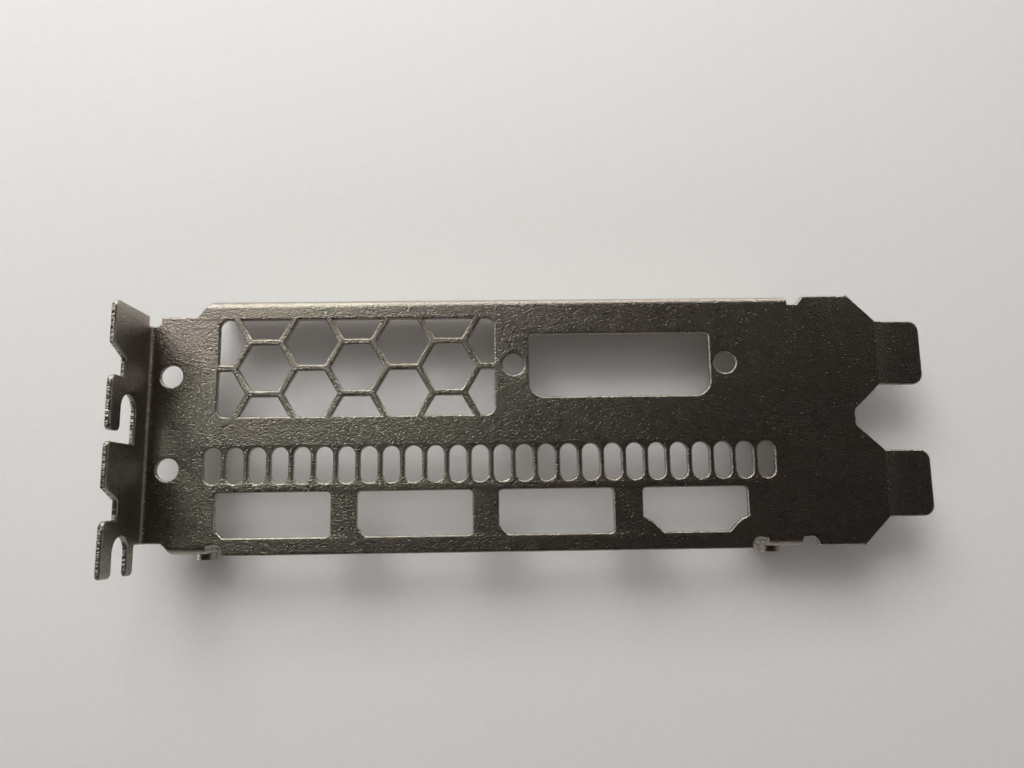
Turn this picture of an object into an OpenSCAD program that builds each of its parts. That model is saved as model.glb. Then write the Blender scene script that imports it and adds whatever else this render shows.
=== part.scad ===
// Dual-slot expansion card bracket, folded from one sheet of plated steel.
// A screw tab is folded up at one end, a long stiffening flange and two board tabs are
// folded down along the sides, and two tongues reach out at the other end.
// X runs from the screw tab to the tongues, Y across the two slots, Z out of the case.
// Shapes are drawn about a datum where the screw tab's seat, the middle of the two slots
// and the outer face meet, and the whole bracket is then lifted to stand on Z = 0.

/* [Sheet] */
// Thickness of the sheet
sheet_t = 0.8; // [0.6:0.05:1]
// Inside radius of the fold of the screw tab
tab_fold_r = 0.8; // [0.5:0.1:1]
// Inside radius of the folds of the flange and the board tabs
edge_fold_r = 0.4; // [0.3:0.05:0.6]

/* [Case slots] */
// Length from the seat of the screw tab to the tips of the tongues
seat_to_tip = 120.02; // [118:0.01:126]
// Distance between neighbouring slots of the case
slot_pitch = 20.32; // [20:0.01:21]
// Width that covers one slot
cover_w = 18.42; // [18:0.01:19]

/* [Tongues] */
// Width of a tongue
tongue_w = 10.19; // [8:0.01:11]
// Length of a tongue beyond its taper
tongue_len = 7.27; // [6:0.01:9]
// Radius at the corners of a tongue's tip
tongue_tip_r = 1.7; // [0.5:0.1:3]
// How far the tongues are set back behind the face
tongue_set = 0.4; // [0.1:0.1:1]
// Length of the ramp that sets a tongue back
tongue_ramp = 2.6; // [1.5:0.1:4]
// Depth of the notch between the tongues, behind the root of the tongues
notch_depth = 3.9; // [2.5:0.1:4.5]
// Straight length of the shoulders at the side edges
shoulder_len = 6.95; // [4:0.05:8]

/* [Neck beside the screw tab] */
// How far the neck's upper edge lies inside the side edge
neck_top_in = 2.47; // [1.5:0.01:3]
// How far the neck's lower edge lies inside the side edge
neck_low_in = 1.6; // [1:0.05:2.5]
// Where the neck's upper edge ends
neck_top_x = 6.9; // [5:0.1:8]
// Slant of the steps at the neck's ends
neck_slant = 53.5; // [45:0.5:70]

/* [Screw tab] */
// Height of the screw tab above the face
tab_h = 11.43; // [10.5:0.01:12.5]
// Width of a screw slot
screw_slot_w = 4.42; // [4.2:0.01:4.8]
// Height of the screw slots' middle above the face
screw_slot_z = 6.1; // [5.9:0.05:6.5]
// Distance from the side edge to the round end's centre of the first screw slot
screw_slot_in = 17.68; // [17:0.01:18.5]
// Length of the fingers beyond that centre
finger_len = 3.34; // [2:0.01:3.8]
// Distance from the round end's centre to the far end of a screw slot
screw_slot_len = 4.89; // [4.4:0.01:5.5]
// How far the screw tab reaches past the side edge
tab_reach = 2.73; // [2.2:0.01:3.5]
// Height of the finger's lower side above the face, past the neck
finger_low_z = 1.9; // [1.6:0.05:2.4]
// Width of the recess in the free edge
recess_w = 2.73; // [1.5:0.01:3.5]
// Distance from the round end's centre to the recess
recess_in = 4.53; // [3.6:0.01:5]
// Height of the recess floor above the face
recess_z = 7.75; // [7:0.05:9]
// Length of the ramp beside the recess
recess_ramp = 1.7; // [1:0.1:2.5]
// Width of the relief notch at the end of the screw tab's fold, from the tab's seat
fold_relief_w = 1.3; // [0.9:0.1:1.6]
// Depth of the relief notch at the end of the screw tab's fold
fold_relief_depth = 1.5; // [1.2:0.1:3]

/* [Flange and board tabs] */
// Depth of the flange below the face
flange_depth = 10.5; // [7:0.1:12]
// Depth of the board tabs below the face
board_tab_depth = 10.5; // [10.2:0.1:13]
// Width of a board tab
board_tab_w = 5.5; // [4.5:0.1:7]
// Middle of the first board tab
board_tab_x = 6.93; // [6.9:0.01:8]
// Width of the relief cuts beside the board tabs
relief_w = 2.2; // [1.4:0.1:2.4]
// Depth of the relief cuts, in from the side edge
relief_depth = 1.3; // [1.2:0.05:1.5]
// Width of the relief cut at the flange's end
flange_relief_w = 2.4; // [1.8:0.1:3]
// How far the lower edge between the board tabs stands out
lower_edge_out = 0.3; // [0:0.05:0.6]
// Depth of the screw holes in the board tabs below the face
board_hole_z = 8.3; // [7.5:0.1:8.6]
// Bore of the screw holes, before their thread
board_hole_d = 2.1; // [1.8:0.05:2.5]
// Outer diameter of the drawn collar round a screw hole
collar_d = 3.2; // [3:0.1:3.8]
// How far the collar stands out of its tab
collar_len = 1.2; // [0.8:0.1:2]

/* [Connector cut-outs] */
// Left end of the row of small connector cut-outs
port_x = 10.7; // [9:0.05:11.5]
// Width of the three like cut-outs
port_w = 17.3; // [16:0.05:18]
// Height of the small cut-outs
port_h = 6.63; // [5.5:0.01:7]
// Distance from one small cut-out to the next
port_pitch = 21.38; // [20:0.01:22]
// Distance from the side edge to the small cut-outs
port_in = 2.35; // [2.2:0.05:2.8]
// Corner radius of the small cut-outs
port_r = 0.6; // [0.3:0.1:1.2]
// Cut corner of the small cut-outs
port_chamfer = 1.35; // [0.8:0.05:2]
// Gap from the last like cut-out to the one with the shaped foot
shaped_gap = 4.55; // [3:0.05:5]
// Width of the shaped cut-out
shaped_w = 15.9; // [14:0.05:17]
// Width of the shaped cut-out's foot
shaped_foot_w = 9.9; // [9.2:0.1:11]
// Height where the shaped cut-out's straight sides end
shaped_side_h = 2.3; // [2.1:0.05:3]
// Ledge between the side and the slant of the shaped cut-out
shaped_ledge = 1.3; // [1.2:0.1:1.7]
// Gap from the vent window to the wide cut-out
wide_gap = 5.45; // [4.5:0.05:7]
// Width of the wide cut-out
wide_w = 28.05; // [26:0.05:28.5]
// Height of the wide cut-out
wide_h = 9.83; // [8:0.01:11]
// Distance from the side edge to the wide cut-out
wide_in = 5.79; // [4:0.01:7]
// Radius of the wide cut-out's upper corners
wide_top_r = 0.6; // [0.3:0.1:1.5]
// Radius of the wide cut-out's lower corners
wide_low_r = 2.4; // [1:0.1:4]
// Web between the wide cut-out and a jackscrew hole
jack_web = 0.825; // [0.625:0.025:1.325]
// How far the jackscrew holes lie above the middle of the wide cut-out
jack_up = 0.18; // [-0.5:0.01:0.5]
// Diameter of the jackscrew holes
jack_d = 3.3; // [2.8:0.05:3.4]

/* [Vents] */
// Left side of the vent window
vent_x = 10.45; // [9:0.05:12]
// Width of the vent window
vent_w = 42.45; // [36:0.05:43]
// Height of the vent window
vent_h = 15.15; // [10:0.05:15.5]
// Distance from the side edge to the vent window
vent_in = 3.1; // [2.2:0.05:3.6]
// Corner radius of the vent window
vent_r = 1.3; // [0.4:0.1:2]
// Width of the bars between the honeycomb cells
vent_bar = 1; // [0.7:0.05:1.5]
// Full cells in a column of the honeycomb
vent_rows = 2; // [2:1:4]
// Number of slots in the row
slot_count = 26; // [10:1:26]
// Middle of the first slot in the row
slot_x = 10.09; // [9.5:0.01:11]
// Distance between neighbouring slots of the row
slot_step = 3.376; // [3.3:0.002:3.4]
// Width of a slot in the row
slot_w = 2.55; // [1.8:0.05:2.8]
// Length of a slot in the row
slot_h = 5.5; // [4:0.05:6]
// How far the row's middle lies below the middle of the plate
slot_row_in = 6.3; // [6:0.05:6.6]

/* [Neck holes] */
// Diameter of the two holes in the neck
neck_hole_d = 3.4; // [2.8:0.05:3.8]
// Middle of the holes from the seat of the screw tab
neck_hole_x = 3.32; // [3:0.01:3.8]
// Distance between the two holes
neck_hole_pitch = 14.27; // [12:0.01:18]
// Distance from the side edge to the first hole
neck_hole_in = 11.84; // [9:0.01:14]

/* [Hidden] */
$fn = 48;

// Roundings of the sheet's outline
tab_corner_r = 1.2;
small_r = 0.8;
fine_r = 0.5;
// Reach of a cutter past the sheet
past = 1;

plate_w = cover_w + slot_pitch;
side_y = plate_w / 2;
fold_out_r = edge_fold_r + sheet_t;
fold_y = side_y - fold_out_r;
neck_top_y = side_y - neck_top_in;
neck_low_y = -side_y + neck_low_in;
tab_end_y = -side_y - tab_reach;

tongue_root_x = seat_to_tip - tongue_len;
tongue_out_y = (slot_pitch + tongue_w) / 2;
tongue_in_y = (slot_pitch - tongue_w) / 2;
shoulder_end_x = tongue_root_x - (side_y - tongue_out_y);
shoulder_x = shoulder_end_x - shoulder_len;
notch_x = tongue_root_x - notch_depth;
notch_y = tongue_in_y - notch_depth;

board_tab_far_x = shoulder_x - relief_w - board_tab_w / 2;
relief_xs = [
    board_tab_x + (board_tab_w + relief_w) / 2,
    board_tab_far_x - (board_tab_w + relief_w) / 2,
    board_tab_far_x + (board_tab_w + relief_w) / 2
];
board_tab_r = board_tab_w / 4;
flange_end_x = shoulder_x - flange_relief_w;
neck_low_x = board_tab_x - board_tab_w / 2 - neck_low_in / tan(neck_slant);

screw_slot_y = side_y - screw_slot_in;
vent_y = side_y - vent_in - vent_h;
wide_x = vent_x + vent_w + wide_gap;
wide_y = side_y - wide_in - wide_h;
port_y = -side_y + port_in;
shaped_x = port_x + 2 * port_pitch + port_w + shaped_gap;
stand_h = max(flange_depth, board_tab_depth);

function unit(v) = v / norm(v);

// The sliver between a corner p, with neighbours a and b, and the arc that rounds it.
// It is taken away from an outer corner, and added in an inner one.
module corner(a, p, b, r) {
    u = unit(a - p);
    v = unit(b - p);
    half = acos(u * v) / 2;
    reach = r / tan(half);
    centre = p + unit(u + v) * r / sin(half);
    difference() {
        polygon([p, p + u * reach, centre, p + v * reach]);
        translate(centre) circle(r);
    }
}

// Rectangle with its first corner at the origin and one radius for each corner:
// lower left, lower right, upper right, upper left.
module rounded_box(w, h, radii) {
    difference() {
        square([w, h]);
        corner([w, 0], [0, 0], [0, h], radii[0]);
        corner([0, 0], [w, 0], [w, h], radii[1]);
        corner([w, 0], [w, h], [0, h], radii[2]);
        corner([0, 0], [0, h], [w, h], radii[3]);
    }
}

// Draws across X: the first axis of the drawing becomes Y and the second Z.
module along_x(x, length) {
    translate([x, 0, 0]) rotate([90, 0, 90]) linear_extrude(length) children();
}

// Draws across Y: the first axis of the drawing becomes X and the second Z.
module along_y(y, length) {
    translate([0, y + length, 0]) rotate([90, 0, 0]) linear_extrude(length) children();
}

// Quarter of a ring about the origin, in the quadrant that the two signs name.
module quarter_ring(inner_r, sign_x, sign_y) {
    outer_r = inner_r + sheet_t;
    intersection() {
        difference() {
            circle(outer_r);
            circle(inner_r);
        }
        translate([min(0, sign_x) * outer_r, min(0, sign_y) * outer_r]) square(outer_r);
    }
}

// The plan outline of the flat face, from the neck's upper side round to its lower side.
module face_outline() {
    top_fold_x = neck_top_x + (fold_y - neck_top_y) / tan(neck_slant);
    low_fold_x = neck_low_x + (fold_y + neck_low_y) / tan(neck_slant);
    relief_floor_y = side_y - relief_depth;
    shoulder_slant_x = shoulder_x - relief_depth / tan(neck_slant);
    root = tongue_root_x;
    tip = seat_to_tip;
    points = [
        [tab_fold_r, neck_top_y],
        [neck_top_x, neck_top_y],
        [top_fold_x, fold_y],
        [flange_end_x, fold_y],
        [flange_end_x, relief_floor_y],
        [shoulder_slant_x, relief_floor_y],
        [shoulder_x, side_y],
        [shoulder_end_x, side_y],
        [root, tongue_out_y],
        [tip, tongue_out_y],
        [tip, tongue_in_y],
        [root, tongue_in_y],
        [notch_x, notch_y],
        [notch_x, -notch_y],
        [root, -tongue_in_y],
        [tip, -tongue_in_y],
        [tip, -tongue_out_y],
        [root, -tongue_out_y],
        [shoulder_end_x, -side_y],
        [relief_xs[2], -side_y],
        [relief_xs[2], -fold_y],
        [relief_xs[1], -fold_y],
        [relief_xs[1], -side_y - lower_edge_out],
        [relief_xs[0], -side_y - lower_edge_out],
        [relief_xs[0], -fold_y],
        [low_fold_x, -fold_y],
        [neck_low_x, neck_low_y],
        [tab_fold_r, neck_low_y]
    ];
    difference() {
        union() {
            polygon(points);
            corner(points[0], points[1], points[2], small_r);
            for (i = [8, 11, 12, 13, 14, 17])
                corner(points[i - 1], points[i], points[i + 1], small_r);
            corner(points[25], points[26], points[27], fine_r);
        }
        for (i = [9, 10, 15, 16])
            corner(points[i - 1], points[i], points[i + 1], tongue_tip_r);
        for (i = [7, 18]) corner(points[i - 1], points[i], points[i + 1], small_r);
        corner(points[5], points[6], points[7], fine_r);
    }
}

// Round-ended cuts beside the board tabs, open at the lower edge.
module relief_cuts() {
    centre_y = -side_y + relief_depth - relief_w / 2;
    for (x = relief_xs) translate([x, centre_y]) {
        circle(d = relief_w);
        translate([-relief_w / 2, -relief_w - past]) square([relief_w, relief_w + past]);
    }
}

// Honeycomb of flat-topped cells, trimmed by the rounded window.
module vent_window() {
    cell = (vent_h + vent_bar) / vent_rows;
    columns = round(vent_w / (cell * cos(30)));
    column_step = vent_w / columns;
    cell_r = (cell - vent_bar) / (2 * cos(30));
    translate([vent_x, vent_y]) intersection() {
        rounded_box(vent_w, vent_h, [vent_r, vent_r, vent_r, vent_r]);
        for (i = [0 : columns], j = [0 : vent_rows])
            if (i % 2 == 1 || j < vent_rows)
                translate([i * column_step, (j + (i % 2 == 1 ? 0 : 0.5)) * cell - vent_bar / 2])
                    circle(cell_r, $fn = 6);
    }
}

module slot_row() {
    for (i = [0 : slot_count - 1]) translate([slot_x + i * slot_step, -slot_row_in]) {
        straight = slot_h - slot_w;
        translate([-slot_w / 2, -straight / 2]) square([slot_w, straight]);
        for (side = [-1, 1]) translate([0, side * straight / 2]) circle(d = slot_w);
    }
}

// Cut-out with one cut corner at its lower left.
module port_cut() {
    difference() {
        rounded_box(port_w, port_h, [port_r, port_r, port_r, port_r]);
        polygon([[0, 0], [port_chamfer, 0], [0, port_chamfer]]);
    }
}

// Cut-out with straight sides, a short ledge and a slant down to a narrower foot.
module shaped_cut() {
    foot_in = (shaped_w - shaped_foot_w) / 2;
    slant = foot_in - shaped_ledge;
    waste = [
        [-past, -past],
        [-past, shaped_side_h],
        [0, shaped_side_h],
        [shaped_ledge, slant],
        [foot_in, 0],
        [foot_in, -past]
    ];
    difference() {
        rounded_box(shaped_w, port_h, [port_r, port_r, port_r, port_r]);
        for (k = [0, 1]) translate([k * shaped_w, 0]) mirror([k, 0]) polygon(waste);
    }
}

// The wide cut-out with its two jackscrew holes.
module wide_cut() {
    radii = [wide_low_r, wide_low_r, wide_top_r, wide_top_r];
    jack_reach = wide_w / 2 + jack_web + jack_d / 2;
    translate([wide_x, wide_y]) {
        rounded_box(wide_w, wide_h, radii);
        for (side = [-1, 1])
            translate([wide_w / 2 + side * jack_reach, wide_h / 2 + jack_up]) circle(d = jack_d);
    }
}

module neck_holes() {
    for (k = [0, 1])
        translate([neck_hole_x, side_y - neck_hole_in - k * neck_hole_pitch]) circle(d = neck_hole_d);
}

// Everything punched through the face.
module face_cuts() {
    relief_cuts();
    vent_window();
    slot_row();
    for (i = [0 : 2]) translate([port_x + i * port_pitch, port_y]) port_cut();
    translate([shaped_x, port_y]) shaped_cut();
    wide_cut();
    neck_holes();
}

// The flat face with its tongues, which step back behind it.
module face() {
    root = tongue_root_x;
    set_x = root + tongue_ramp;
    section = [
        [tab_fold_r, 0],
        [root, 0],
        [set_x, -tongue_set],
        [seat_to_tip + past, -tongue_set],
        [seat_to_tip + past, -tongue_set - sheet_t],
        [set_x, -tongue_set - sheet_t],
        [root, -sheet_t],
        [tab_fold_r, -sheet_t]
    ];
    intersection() {
        translate([0, 0, -sheet_t - tongue_set - past])
            linear_extrude(sheet_t + tongue_set + 2 * past)
                difference() {
                    face_outline();
                    face_cuts();
                }
        along_y(-side_y - past, plate_w + 2 * past) polygon(section);
    }
}

// A wall folded down along the upper side, from x0 to x1 at its outer face.
// Its first end leans by slant_run over the width of the fold.
module folded_wall(x0, x1, slant_run, depth, r) {
    lean_x = x0 - slant_run * sheet_t / fold_out_r;
    difference() {
        intersection() {
            along_x(x0 - slant_run, x1 - x0 + slant_run) {
                translate([fold_y, -fold_out_r]) quarter_ring(edge_fold_r, 1, 1);
                translate([side_y - sheet_t, -depth]) square([sheet_t, depth - fold_out_r]);
            }
            translate([0, 0, -depth - past]) linear_extrude(depth + 2 * past)
                polygon([[x0 - slant_run, fold_y], [x0, side_y], [x1, side_y], [x1, fold_y]]);
        }
        along_y(fold_y - past, fold_out_r + 2 * past) {
            corner([lean_x, 0], [lean_x, -depth], [x1, -depth], r);
            corner([lean_x, -depth], [x1, -depth], [x1, 0], r);
        }
    }
}

module flange() {
    lean = fold_out_r / tan(neck_slant);
    start_x = neck_top_x + neck_top_in / tan(neck_slant);
    folded_wall(start_x, flange_end_x, lean, flange_depth, small_r);
}

// A board tab with its drawn and threaded collar, drawn on the upper side.
module board_tab(x, lean) {
    half_w = board_tab_w / 2;
    hole_y = side_y + collar_len;
    difference() {
        union() {
            folded_wall(x - half_w, x + half_w, lean, board_tab_depth, board_tab_r);
            translate([x, hole_y, -board_hole_z]) rotate([90, 0, 0])
                cylinder(h = collar_len + sheet_t / 2, d = collar_d);
        }
        translate([x, hole_y + past, -board_hole_z]) rotate([90, 0, 0])
            cylinder(h = collar_len + sheet_t + 2 * past, d = board_hole_d);
    }
}

// One screw slot, its mouth and the recess above it, about the centre of its round end.
module screw_cut() {
    low_z = screw_slot_z - screw_slot_w / 2;
    high_z = screw_slot_z + screw_slot_w / 2;
    recess_end = recess_in + recess_w;
    far = screw_slot_len + recess_in;
    translate([0, screw_slot_z]) circle(d = screw_slot_w);
    translate([-screw_slot_len, low_z]) square([screw_slot_len, screw_slot_w]);
    translate([-screw_slot_len, low_z]) square([screw_slot_len - finger_len, tab_h + past - low_z]);
    corner([0, tab_h], [-finger_len, tab_h], [-finger_len, 0], small_r);
    corner([-finger_len, tab_h], [-finger_len, high_z], [0, high_z], small_r);
    corner([-far, tab_h], [-screw_slot_len, tab_h], [-screw_slot_len, 0], small_r);
    polygon([
        [recess_in, tab_h + past],
        [recess_in, recess_z],
        [recess_end, recess_z],
        [recess_end + recess_ramp, tab_h],
        [recess_end + recess_ramp, tab_h + past]
    ]);
    corner([recess_in, 0], [recess_in, tab_h], [-far, tab_h], tab_corner_r);
}

module screw_tab_outline() {
    low_z = screw_slot_z - screw_slot_w / 2;
    difference() {
        union() {
            translate([neck_low_y, tab_fold_r]) square([neck_top_y - neck_low_y, tab_h - tab_fold_r]);
            translate([tab_end_y, finger_low_z]) square([neck_low_y - tab_end_y, tab_h - finger_low_z]);
            corner([tab_end_y, finger_low_z], [neck_low_y, finger_low_z], [neck_low_y, 0], fine_r);
        }
        corner([neck_top_y, 0], [neck_top_y, tab_h], [0, tab_h], tab_corner_r);
        for (k = [0, 1]) translate([screw_slot_y - k * slot_pitch, 0]) screw_cut();
        corner([tab_end_y, tab_h], [tab_end_y, finger_low_z], [0, finger_low_z], small_r);
        corner([tab_end_y, 0], [tab_end_y, low_z], [0, low_z], small_r);
    }
}

// The tab that carries the case screws, with its fold.
module screw_tab() {
    along_x(-sheet_t, sheet_t) screw_tab_outline();
    along_y(neck_low_y, neck_top_y - neck_low_y)
        translate([tab_fold_r, tab_fold_r]) quarter_ring(tab_fold_r, -1, -1);
}

// Notch that ends the screw tab's fold short of the neck's upper edge.
module fold_relief() {
    floor_y = neck_top_y - fold_relief_depth;
    low_x = -sheet_t - past;
    translate([0, 0, -sheet_t - past]) linear_extrude(sheet_t + past + tab_fold_r)
        difference() {
            translate([low_x, floor_y])
                square([fold_relief_w - low_x, fold_relief_depth + past]);
            corner([low_x, floor_y], [fold_relief_w, floor_y], [fold_relief_w, neck_top_y], small_r);
        }
}

module bracket() {
    centre_x = (seat_to_tip - sheet_t) / 2;
    centre_y = (side_y + tab_end_y) / 2;
    color("#6f695f") translate([-centre_x, -centre_y, stand_h]) difference() {
        union() {
            face();
            screw_tab();
            flange();
            mirror([0, 1, 0]) board_tab(board_tab_x, fold_out_r / tan(neck_slant));
            mirror([0, 1, 0]) board_tab(board_tab_far_x, 0);
        }
        fold_relief();
    }
}

bracket();
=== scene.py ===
import math

import bmesh
import bpy
from mathutils import Matrix, Vector
from mathutils.geometry import tessellate_polygon


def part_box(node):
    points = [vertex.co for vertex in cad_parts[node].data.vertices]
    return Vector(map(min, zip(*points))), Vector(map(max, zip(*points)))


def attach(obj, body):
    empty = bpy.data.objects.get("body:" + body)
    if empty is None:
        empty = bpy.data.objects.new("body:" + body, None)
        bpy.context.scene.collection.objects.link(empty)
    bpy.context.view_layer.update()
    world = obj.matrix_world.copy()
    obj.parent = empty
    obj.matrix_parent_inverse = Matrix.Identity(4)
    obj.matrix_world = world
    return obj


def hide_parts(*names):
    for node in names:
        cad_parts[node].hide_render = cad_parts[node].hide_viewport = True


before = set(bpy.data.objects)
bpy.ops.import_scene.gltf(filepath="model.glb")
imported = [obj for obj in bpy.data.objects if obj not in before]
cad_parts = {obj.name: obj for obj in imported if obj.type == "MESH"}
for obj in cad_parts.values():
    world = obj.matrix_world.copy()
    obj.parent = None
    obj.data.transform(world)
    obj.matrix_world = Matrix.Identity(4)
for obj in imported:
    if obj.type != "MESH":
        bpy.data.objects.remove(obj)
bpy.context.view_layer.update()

# ---------------------------------------------------------------- sizes, metres
SHEET = 0.0008          # thickness of the sheet
TAB_H = 0.01143         # height of the screw tab above the face
SIDE = 0.01937          # half the width of the face
TAB_R = 0.0008          # inside radius of the screw tab's fold
EDGE_R = 0.0004         # inside radius of the folds of the flange and the board tabs
ROLL = 0.0003           # die roll on the punched side of the sheet
BREAK = 0.00009         # broken edge on the other side
FLANGE = (0.0075, 0.0994)                               # where the flange starts and ends
BOARD_TABS = ((0.00693, 0.0037), (0.096735, 0.0028))    # middle and half width of each board tab
COLLAR_GAP = 0.00002    # how far past the side edge a point has to be to lie on a collar

low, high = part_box("bracket")
SEAT_X = low.x + SHEET
MID_Y = high.y - SIDE
FACE_Z = high.z - TAB_H


def datum(p):
    """A point measured from the seat of the screw tab, the middle and the outer face."""
    return Vector((p.x - SEAT_X, p.y - MID_Y, p.z - FACE_Z))


def folded(d):
    """Whether the side edge is folded down at this point."""
    if d.y > 0:
        return FLANGE[0] < d.x < FLANGE[1]
    return any(abs(d.x - middle) < half for middle, half in BOARD_TABS)


def sheet_normal(p):
    """The direction out of the punched side of the sheet, at a point of the part; zero on a collar."""
    d = datum(p)
    fold_out = EDGE_R + SHEET
    fold_y = SIDE - fold_out
    way = math.copysign(1, d.y)
    if d.x < TAB_R:
        if d.z > TAB_R:
            return Vector((1, 0, 0))
        return Vector((TAB_R - d.x, 0, TAB_R - d.z)).normalized()
    if d.y < -SIDE - COLLAR_GAP and d.z < -SHEET * 2:
        return Vector((0, 0, 0))
    if d.z < -fold_out:
        return Vector((0, way, 0))
    if abs(d.y) > fold_y and folded(d):
        return Vector((0, d.y - way * fold_y, d.z + fold_out)).normalized()
    return Vector((0, 0, 1))


# ---------------------------------------------------------------- materials
def material(name):
    """A new material with one Principled shader: the material, its tree and the shader."""
    mat = bpy.data.materials.new(name)
    mat.use_nodes = True
    tree = mat.node_tree
    tree.nodes.clear()
    out = tree.nodes.new("ShaderNodeOutputMaterial")
    bsdf = tree.nodes.new("ShaderNodeBsdfPrincipled")
    tree.links.new(bsdf.outputs[0], out.inputs[0])
    return mat, tree, bsdf


class Nodes:
    """Short ways to add shader nodes to one tree."""

    def __init__(self, tree):
        self.tree = tree
        self.coord = tree.nodes.new("ShaderNodeTexCoord")

    def link(self, a, b):
        self.tree.links.new(a, b)

    def noise(self, scale, rough=0.5, distort=0.0):
        """Noise with a scale for each axis, in repeats a metre."""
        m = self.tree.nodes.new("ShaderNodeMapping")
        m.inputs["Scale"].default_value = scale
        self.link(self.coord.outputs["Object"], m.inputs["Vector"])
        n = self.tree.nodes.new("ShaderNodeTexNoise")
        for key, v in (("Scale", 1.0), ("Detail", 2.0), ("Roughness", rough), ("Distortion", distort)):
            n.inputs[key].default_value = v
        self.link(m.outputs[0], n.inputs["Vector"])
        return n.outputs["Fac"]

    def remap(self, value, a, b, lo, hi):
        r = self.tree.nodes.new("ShaderNodeMapRange")
        for key, v in (("From Min", a), ("From Max", b), ("To Min", lo), ("To Max", hi)):
            r.inputs[key].default_value = v
        self.link(value, r.inputs["Value"])
        return r.outputs["Result"]

    def math(self, op, a, b):
        m = self.tree.nodes.new("ShaderNodeMath")
        m.operation = op
        for socket, v in zip(m.inputs, (a, b)):
            if isinstance(v, (int, float)):
                socket.default_value = v
            else:
                self.link(v, socket)
        return m.outputs[0]

    def mix(self, factor, a, b):
        """Colour from a to b. The numbers pick a Mix node's factor and colour sockets."""
        m = self.tree.nodes.new("ShaderNodeMix")
        m.data_type = "RGBA"
        for key, v in ((0, factor), (6, a), (7, b)):
            if isinstance(v, (int, float)):
                m.inputs[key].default_value = v
            elif isinstance(v, tuple):
                m.inputs[key].default_value = (*v, 1)
            else:
                self.link(v, m.inputs[key])
        return m.outputs[2]

    def bump(self, height, strength, distance, before=None):
        b = self.tree.nodes.new("ShaderNodeBump")
        b.inputs["Strength"].default_value = strength
        b.inputs["Distance"].default_value = distance
        self.link(height, b.inputs["Height"])
        if before is not None:
            self.link(before, b.inputs["Normal"])
        return b.outputs[0]


def plated_steel():
    """Satin nickel plate over fine-grained sheet steel."""
    mat, tree, bsdf = material("plated_steel")
    n = Nodes(tree)
    grain = n.noise((3300, 4300, 3300), 0.6)
    pits = n.noise((7600, 8600, 7600), 0.6)
    mottle = n.noise((700, 900, 700))
    cloud = n.noise((55, 70, 55), distort=0.3)
    tint = n.noise((30, 44, 30))
    tone = n.mix(n.remap(tint, 0.38, 0.62, 0, 1), (0.42, 0.41, 0.335), (0.44, 0.365, 0.325))
    tone = n.mix(n.remap(cloud, 0.35, 0.7, 0, 0.4), tone, (0.36, 0.345, 0.32))
    tone = n.mix(n.remap(grain, 0.4, 0.72, 0.0, 0.45), tone, (0.20, 0.19, 0.175))
    n.link(tone, bsdf.inputs["Base Color"])
    rough = n.remap(mottle, 0.3, 0.7, 0.27, 0.31)
    rough_grain = n.remap(grain, 0.3, 0.7, -0.03, 0.05)
    n.link(n.math("ADD", rough, rough_grain), bsdf.inputs["Roughness"])
    bsdf.inputs["Metallic"].default_value = 1.0
    first = n.bump(grain, 1.0, 0.00011)
    n.link(n.bump(pits, 0.5, 0.00002, first), bsdf.inputs["Normal"])
    return mat


def sheared_edge(name, scale):
    """Cut thickness of the sheet, with tear marks that run through it."""
    mat, tree, bsdf = material(name)
    n = Nodes(tree)
    tear = n.noise(scale, 0.6)
    lump = n.noise((2300, 2300, 2300), 0.6)
    tone = n.mix(n.remap(tear, 0.4, 0.62, 0, 1), (0.10, 0.095, 0.09), (0.60, 0.58, 0.54))
    n.link(tone, bsdf.inputs["Base Color"])
    n.link(n.remap(lump, 0.3, 0.7, 0.22, 0.45), bsdf.inputs["Roughness"])
    bsdf.inputs["Metallic"].default_value = 1.0
    first = n.bump(tear, 1.0, 0.00025)
    n.link(n.bump(lump, 0.7, 0.0002, first), bsdf.inputs["Normal"])
    return mat


def floor_material():
    """Plain pale sheet with a faint tooth."""
    mat, tree, bsdf = material("pale_floor")
    n = Nodes(tree)
    fine = n.noise((900, 900, 900))
    n.link(n.mix(fine, (0.74, 0.735, 0.725), (0.78, 0.775, 0.765)), bsdf.inputs["Base Color"])
    for key, v in (
        ("Roughness", 0.8),
        ("Specular IOR Level", 0.2),
        ("Subsurface Weight", 1.0),
        ("Subsurface Radius", (1.0, 0.95, 0.93)),
        ("Subsurface Scale", 0.009),
    ):
        bsdf.inputs[key].default_value = v
    n.link(n.bump(fine, 0.15, 0.0002), bsdf.inputs["Normal"])
    return mat


# ---------------------------------------------------------------- the bracket
ARC = 4                 # steps in a rolled edge
FACING = 0.8            # how squarely a face of the sheet's surface looks out of it
SAME_PLANE = 0.9999998  # how well the normals of faces in one plane agree
CUT_EDGE = math.radians(50)     # least angle of an edge that is rolled or broken
SHADE_EDGE = math.radians(46)   # least angle of an edge that is shaded sharp
STRAIGHT_BACK = 0.2     # an edge that turns back on itself further than this isn't inset
TIGHTEST = -0.6         # cosine at which the inset of a corner stops growing


def flat_patches(faces):
    """Groups of faces that join and lie in one plane."""
    left, patches = set(faces), []
    while left:
        seed = left.pop()
        patch, todo = {seed}, [seed]
        while todo:
            for e in todo.pop().edges:
                for f in e.link_faces:
                    if f in left and f.normal.dot(seed.normal) > SAME_PLANE:
                        left.discard(f)
                        patch.add(f)
                        todo.append(f)
        patches.append(patch)
    return patches


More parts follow.
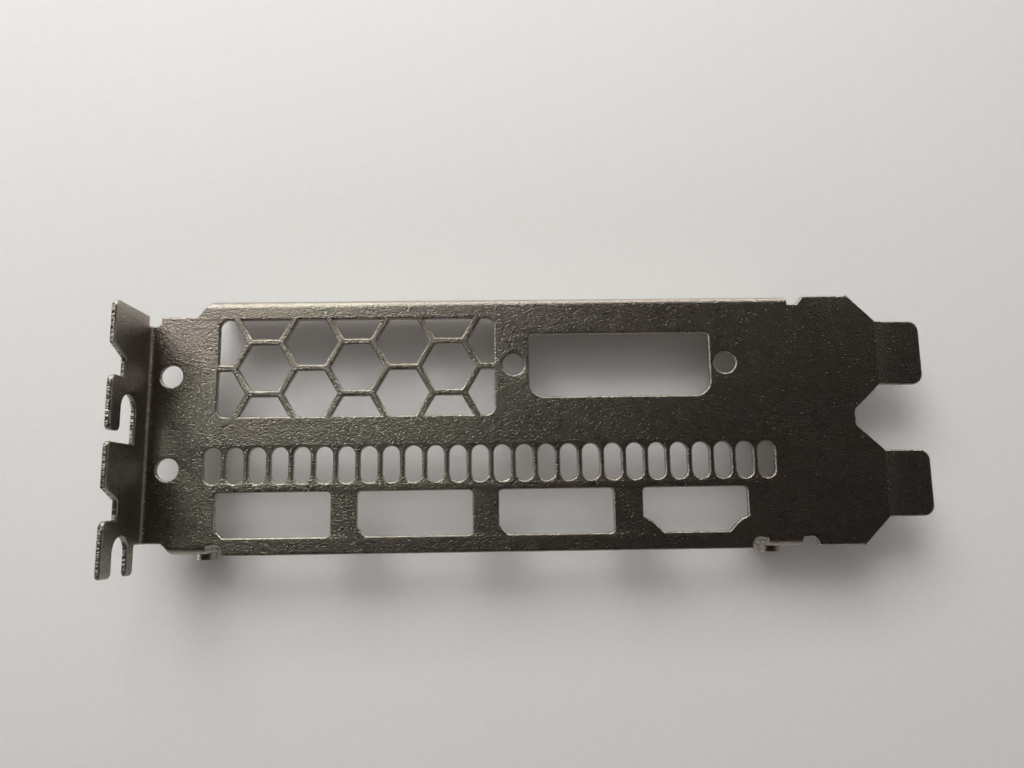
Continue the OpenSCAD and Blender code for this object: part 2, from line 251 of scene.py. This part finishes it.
def loops_of(patch):
    """The closed loops of vertices round a patch, in the winding of its faces."""
    after = {}
    for f in patch:
        for loop in f.loops:
            if not any(o in patch for o in loop.edge.link_faces if o is not f):
                after.setdefault(loop.vert, []).append(loop.link_loop_next.vert)
    loops = []
    while after:
        start = next(iter(after))
        ring, v = [], start
        while v in after:
            ring.append(v)
            nxt = after[v].pop()
            if not after[v]:
                del after[v]
            v = nxt
        loops.append(ring)
    return loops


def rolled_sheet(node):
    """The CAD solid with its edges rolled and broken as punching leaves them."""
    bm = bmesh.new()
    bm.from_mesh(node.data)
    bmesh.ops.remove_doubles(bm, verts=bm.verts, dist=1e-6)
    bm.normal_update()

    # 1 on the punched side, -1 on the other, 0 on the cut thickness, 2 on a collar
    side = {}
    for f in bm.faces:
        out = sheet_normal(f.calc_center_median())
        lean = f.normal.dot(out)
        if out.length < 0.5:
            side[f] = 2
        elif abs(lean) < FACING:
            side[f] = 0
        else:
            side[f] = 1 if lean > 0 else -1

    # At each vertex of a cut edge: how it moves into the sheet's surface, and that surface's normal.
    moves = {}
    rims = {1: [], -1: []}
    for e in bm.edges:
        if len(e.link_faces) != 2:
            continue
        kinds = sorted((side[f] for f in e.link_faces), key=abs)
        if kinds[0] == 0 and kinds[1] in rims and e.calc_face_angle_signed(0) > CUT_EDGE:
            rims[kinds[1]].append(e)
    for way, edges in rims.items():
        size = ROLL if way == 1 else BREAK
        at = {}
        for e in edges:
            surface = next(f for f in e.link_faces if side[f] == way)
            along = (e.verts[1].co - e.verts[0].co).normalized()
            inward = surface.normal.cross(along)
            if inward.dot(surface.calc_center_median() - e.verts[0].co) < 0:
                inward = -inward
            for v in e.verts:
                at.setdefault(v, []).append(inward)
        for v, found in at.items():
            if len(found) != 2:
                continue
            normal = Vector((0, 0, 0))
            for f in v.link_faces:
                if side[f] == way:
                    normal += f.normal * f.calc_area()
            normal.normalize()
            middle = found[0] + found[1]
            if middle.length < STRAIGHT_BACK:
                continue
            inset = middle / (1 + max(found[0].dot(found[1]), TIGHTEST))
            inset -= normal * inset.dot(normal)
            moves[(v, way)] = (inset * size, normal * size)

    points, faces, marks = [], [], []
    numbers = {}

    def number(v, kind, step):
        """The new point for a vertex: kind 1 or -1 is a surface or its rim, 0 the cut thickness."""
        key = (v, kind, step) if (v, kind) in moves else (v, 0, 0)
        if key not in numbers:
            place = v.co.copy()
            if (v, kind) in moves:
                inset, depth = moves[(v, kind)]
                turn = math.pi / 2 * step / ARC if kind == 1 else math.pi / 2 * step
                place += inset * (1 - math.sin(turn)) - depth * (1 - math.cos(turn))
            numbers[key] = len(points)
            points.append(place)
        return numbers[key]

    def last(way):
        """The step at which a rim meets the cut thickness."""
        return ARC if way == 1 else 1

    def on_wall(v):
        """The point of a vertex where it bounds the cut thickness."""
        for way in (1, -1):
            if (v, way) in moves:
                return number(v, way, last(way))
        return number(v, 0, 0)

    def add(ids, mark):
        """A face through these points, unless it closes up to nothing; mark is its material."""
        ring = [a for k, a in enumerate(ids) if a != ids[k - 1]]
        if len(set(ring)) > 2 and len(set(ring)) == len(ring):
            faces.append(ring)
            marks.append(mark)

    for way in (1, -1):
        members = [f for f in bm.faces if side[f] == way]
        for patch in flat_patches(members):
            if len(patch) < 3:
                for f in patch:
                    add([number(v, way, 0) for v in f.verts], 0)
                continue
            normal = next(iter(patch)).normal
            rings = loops_of(patch)
            flat = normal.rotation_difference(Vector((0, 0, 1)))
            ids = [number(v, way, 0) for ring in rings for v in ring]
            outlines = [
                [(flat @ points[number(v, way, 0)]).to_2d().to_3d() for v in ring] for ring in rings
            ]
            for tri in tessellate_polygon(outlines):
                a, b, c = (points[ids[k]] for k in tri)
                if (b - a).cross(c - a).dot(normal) < 0:
                    tri = tri[::-1]
                add([ids[k] for k in tri], 0)
    for f in bm.faces:
        if side[f] in (0, 2):
            on_tab = datum(f.calc_center_median()).z > TAB_R
            add([on_wall(v) for v in f.verts], 0 if side[f] == 2 else 2 if on_tab else 1)
    for way, edges in rims.items():
        for e in edges:
            surface = next(f for f in e.link_faces if side[f] == way)
            loop = next(l for l in e.link_loops if l.face is surface)
            a, b = loop.vert, loop.link_loop_next.vert
            for k in range(last(way)):
                corners = (b, k), (a, k), (a, k + 1), (b, k + 1)
                add([number(v, way, step) for v, step in corners], 0)
    bm.free()

    mesh = bpy.data.meshes.new("bracket_sheet")
    mesh.from_pydata(points, [], faces)
    mesh.polygons.foreach_set("material_index", marks)
    bm = bmesh.new()
    bm.from_mesh(mesh)
    bmesh.ops.recalc_face_normals(bm, faces=bm.faces)
    bm.to_mesh(mesh)
    bm.free()
    mesh.polygons.foreach_set("use_smooth", [True] * len(faces))
    mesh.set_sharp_from_angle(angle=SHADE_EDGE)
    obj = bpy.data.objects.new("bracket_sheet", mesh)
    bpy.context.scene.collection.objects.link(obj)
    return obj


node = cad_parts["bracket"]
steel = plated_steel()
# The tear marks run through the sheet: along Z on the face, along X on the screw tab.
edge = sheared_edge("sheared_edge", (3000, 3000, 700))
tab_edge = sheared_edge("sheared_tab_edge", (700, 3000, 3000))
bracket = rolled_sheet(node)
for surface_material in (steel, edge, tab_edge):
    bracket.data.materials.append(surface_material)
weighted = bracket.modifiers.new("weighted", "WEIGHTED_NORMAL")
weighted.keep_sharp = True
weighted.weight = 50
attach(bracket, "root")
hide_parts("bracket")
node.data.materials.clear()
node.data.materials.append(steel)

# ---------------------------------------------------------------- floor, light, camera
FLOOR_SIZE = 3.0
FLOOR_GAP = 0.00002     # keeps the floor clear of the faces that rest on it
bpy.ops.mesh.primitive_plane_add(size=FLOOR_SIZE, location=(0, 0, low.z - FLOOR_GAP))
floor = bpy.context.object
floor.name = "floor"
floor.data.materials.append(floor_material())


def area(name, place, size, power, colour):
    """A soft rectangle of light that looks at the middle of the part."""
    light = bpy.data.lights.new(name, "AREA")
    light.shape = "RECTANGLE"
    light.size, light.size_y = size
    light.energy = power
    light.color = colour
    obj = bpy.data.objects.new(name, light)
    obj.location = place
    obj.rotation_mode = "QUATERNION"
    obj.rotation_quaternion = (-Vector(place)).to_track_quat("-Z", "Y")
    bpy.context.scene.collection.objects.link(obj)
    return obj


# The pale floor and the dark plate need different amounts of light, so each has lights of its own.
for name, place, size, power, colour in (
    ("floor_key", (-0.10, 0.27, 0.30), (0.26, 0.26), 1.5, (1.0, 0.99, 0.97)),
    ("floor_top", (0.0, 0.14, 0.60), (0.70, 0.70), 1.15, (1.0, 0.98, 0.97)),
    ("floor_low", (0.0, -0.60, 0.22), (0.80, 0.16), 0.35, (1.0, 0.97, 0.96)),
):
    area(name, place, size, power, colour).visible_glossy = False
for name, place, size, power, colour in (
    ("plate_key", (-0.26, 0.36, 0.34), (0.28, 0.28), 1.2, (1.0, 1.0, 0.94)),
    ("plate_back", (0.05, 0.75, 0.16), (1.40, 0.20), 4.4, (1.0, 0.99, 0.95)),
    ("plate_left", (-0.60, 0.05, 0.10), (0.40, 0.12), 0.5, (0.97, 1.0, 1.0)),
):
    area(name, place, size, power, colour).visible_diffuse = False

# The room is pale low down and dark overhead, where the plate mirrors it.
ROOM_PALE, ROOM_DARK = 0.08, 0.55       # heights on a unit sphere where the change starts and ends
world = bpy.data.worlds.new("studio")
world.use_nodes = True
room = Nodes(world.node_tree)
height = world.node_tree.nodes.new("ShaderNodeSeparateXYZ")
room.link(room.coord.outputs["Generated"], height.inputs[0])
pale = room.math("POWER", room.remap(height.outputs["Z"], ROOM_PALE, ROOM_DARK, 1.0, 0.0), 1.6)
background = world.node_tree.nodes["Background"]
room.link(room.mix(pale, (1.0, 0.86, 0.74), (0.97, 0.98, 1.0)), background.inputs["Color"])
room.link(room.remap(pale, 0.0, 1.0, 0.020, 0.42), background.inputs["Strength"])
bpy.context.scene.world = world

# The camera stands over the bracket. Its place is measured from the seat, the middle and the face.
CAMERA_AT = Vector((0.053406, -0.012682, 0.119523))
CAMERA_LOOK = Vector((0.018337, 0.152405, -0.988148))
CAMERA_UP = Vector((0.011262, 0.988220, 0.152625))
camera_data = bpy.data.cameras.new("camera")
camera_data.sensor_fit = "HORIZONTAL"
camera_data.sensor_width = 36.0
camera_data.lens = 27.523
camera_data.clip_start = 0.002
camera_data.clip_end = 10
camera = bpy.data.objects.new("camera", camera_data)
bpy.context.scene.collection.objects.link(camera)
look = CAMERA_LOOK.normalized()
across = look.cross(CAMERA_UP).normalized()
turn = Matrix((across, across.cross(look), -look)).transposed().to_4x4()
camera.matrix_world = Matrix.Translation(Vector((SEAT_X, MID_Y, FACE_Z)) + CAMERA_AT) @ turn
bpy.context.scene.camera = camera
bpy.context.scene.view_settings.view_transform = "Standard"
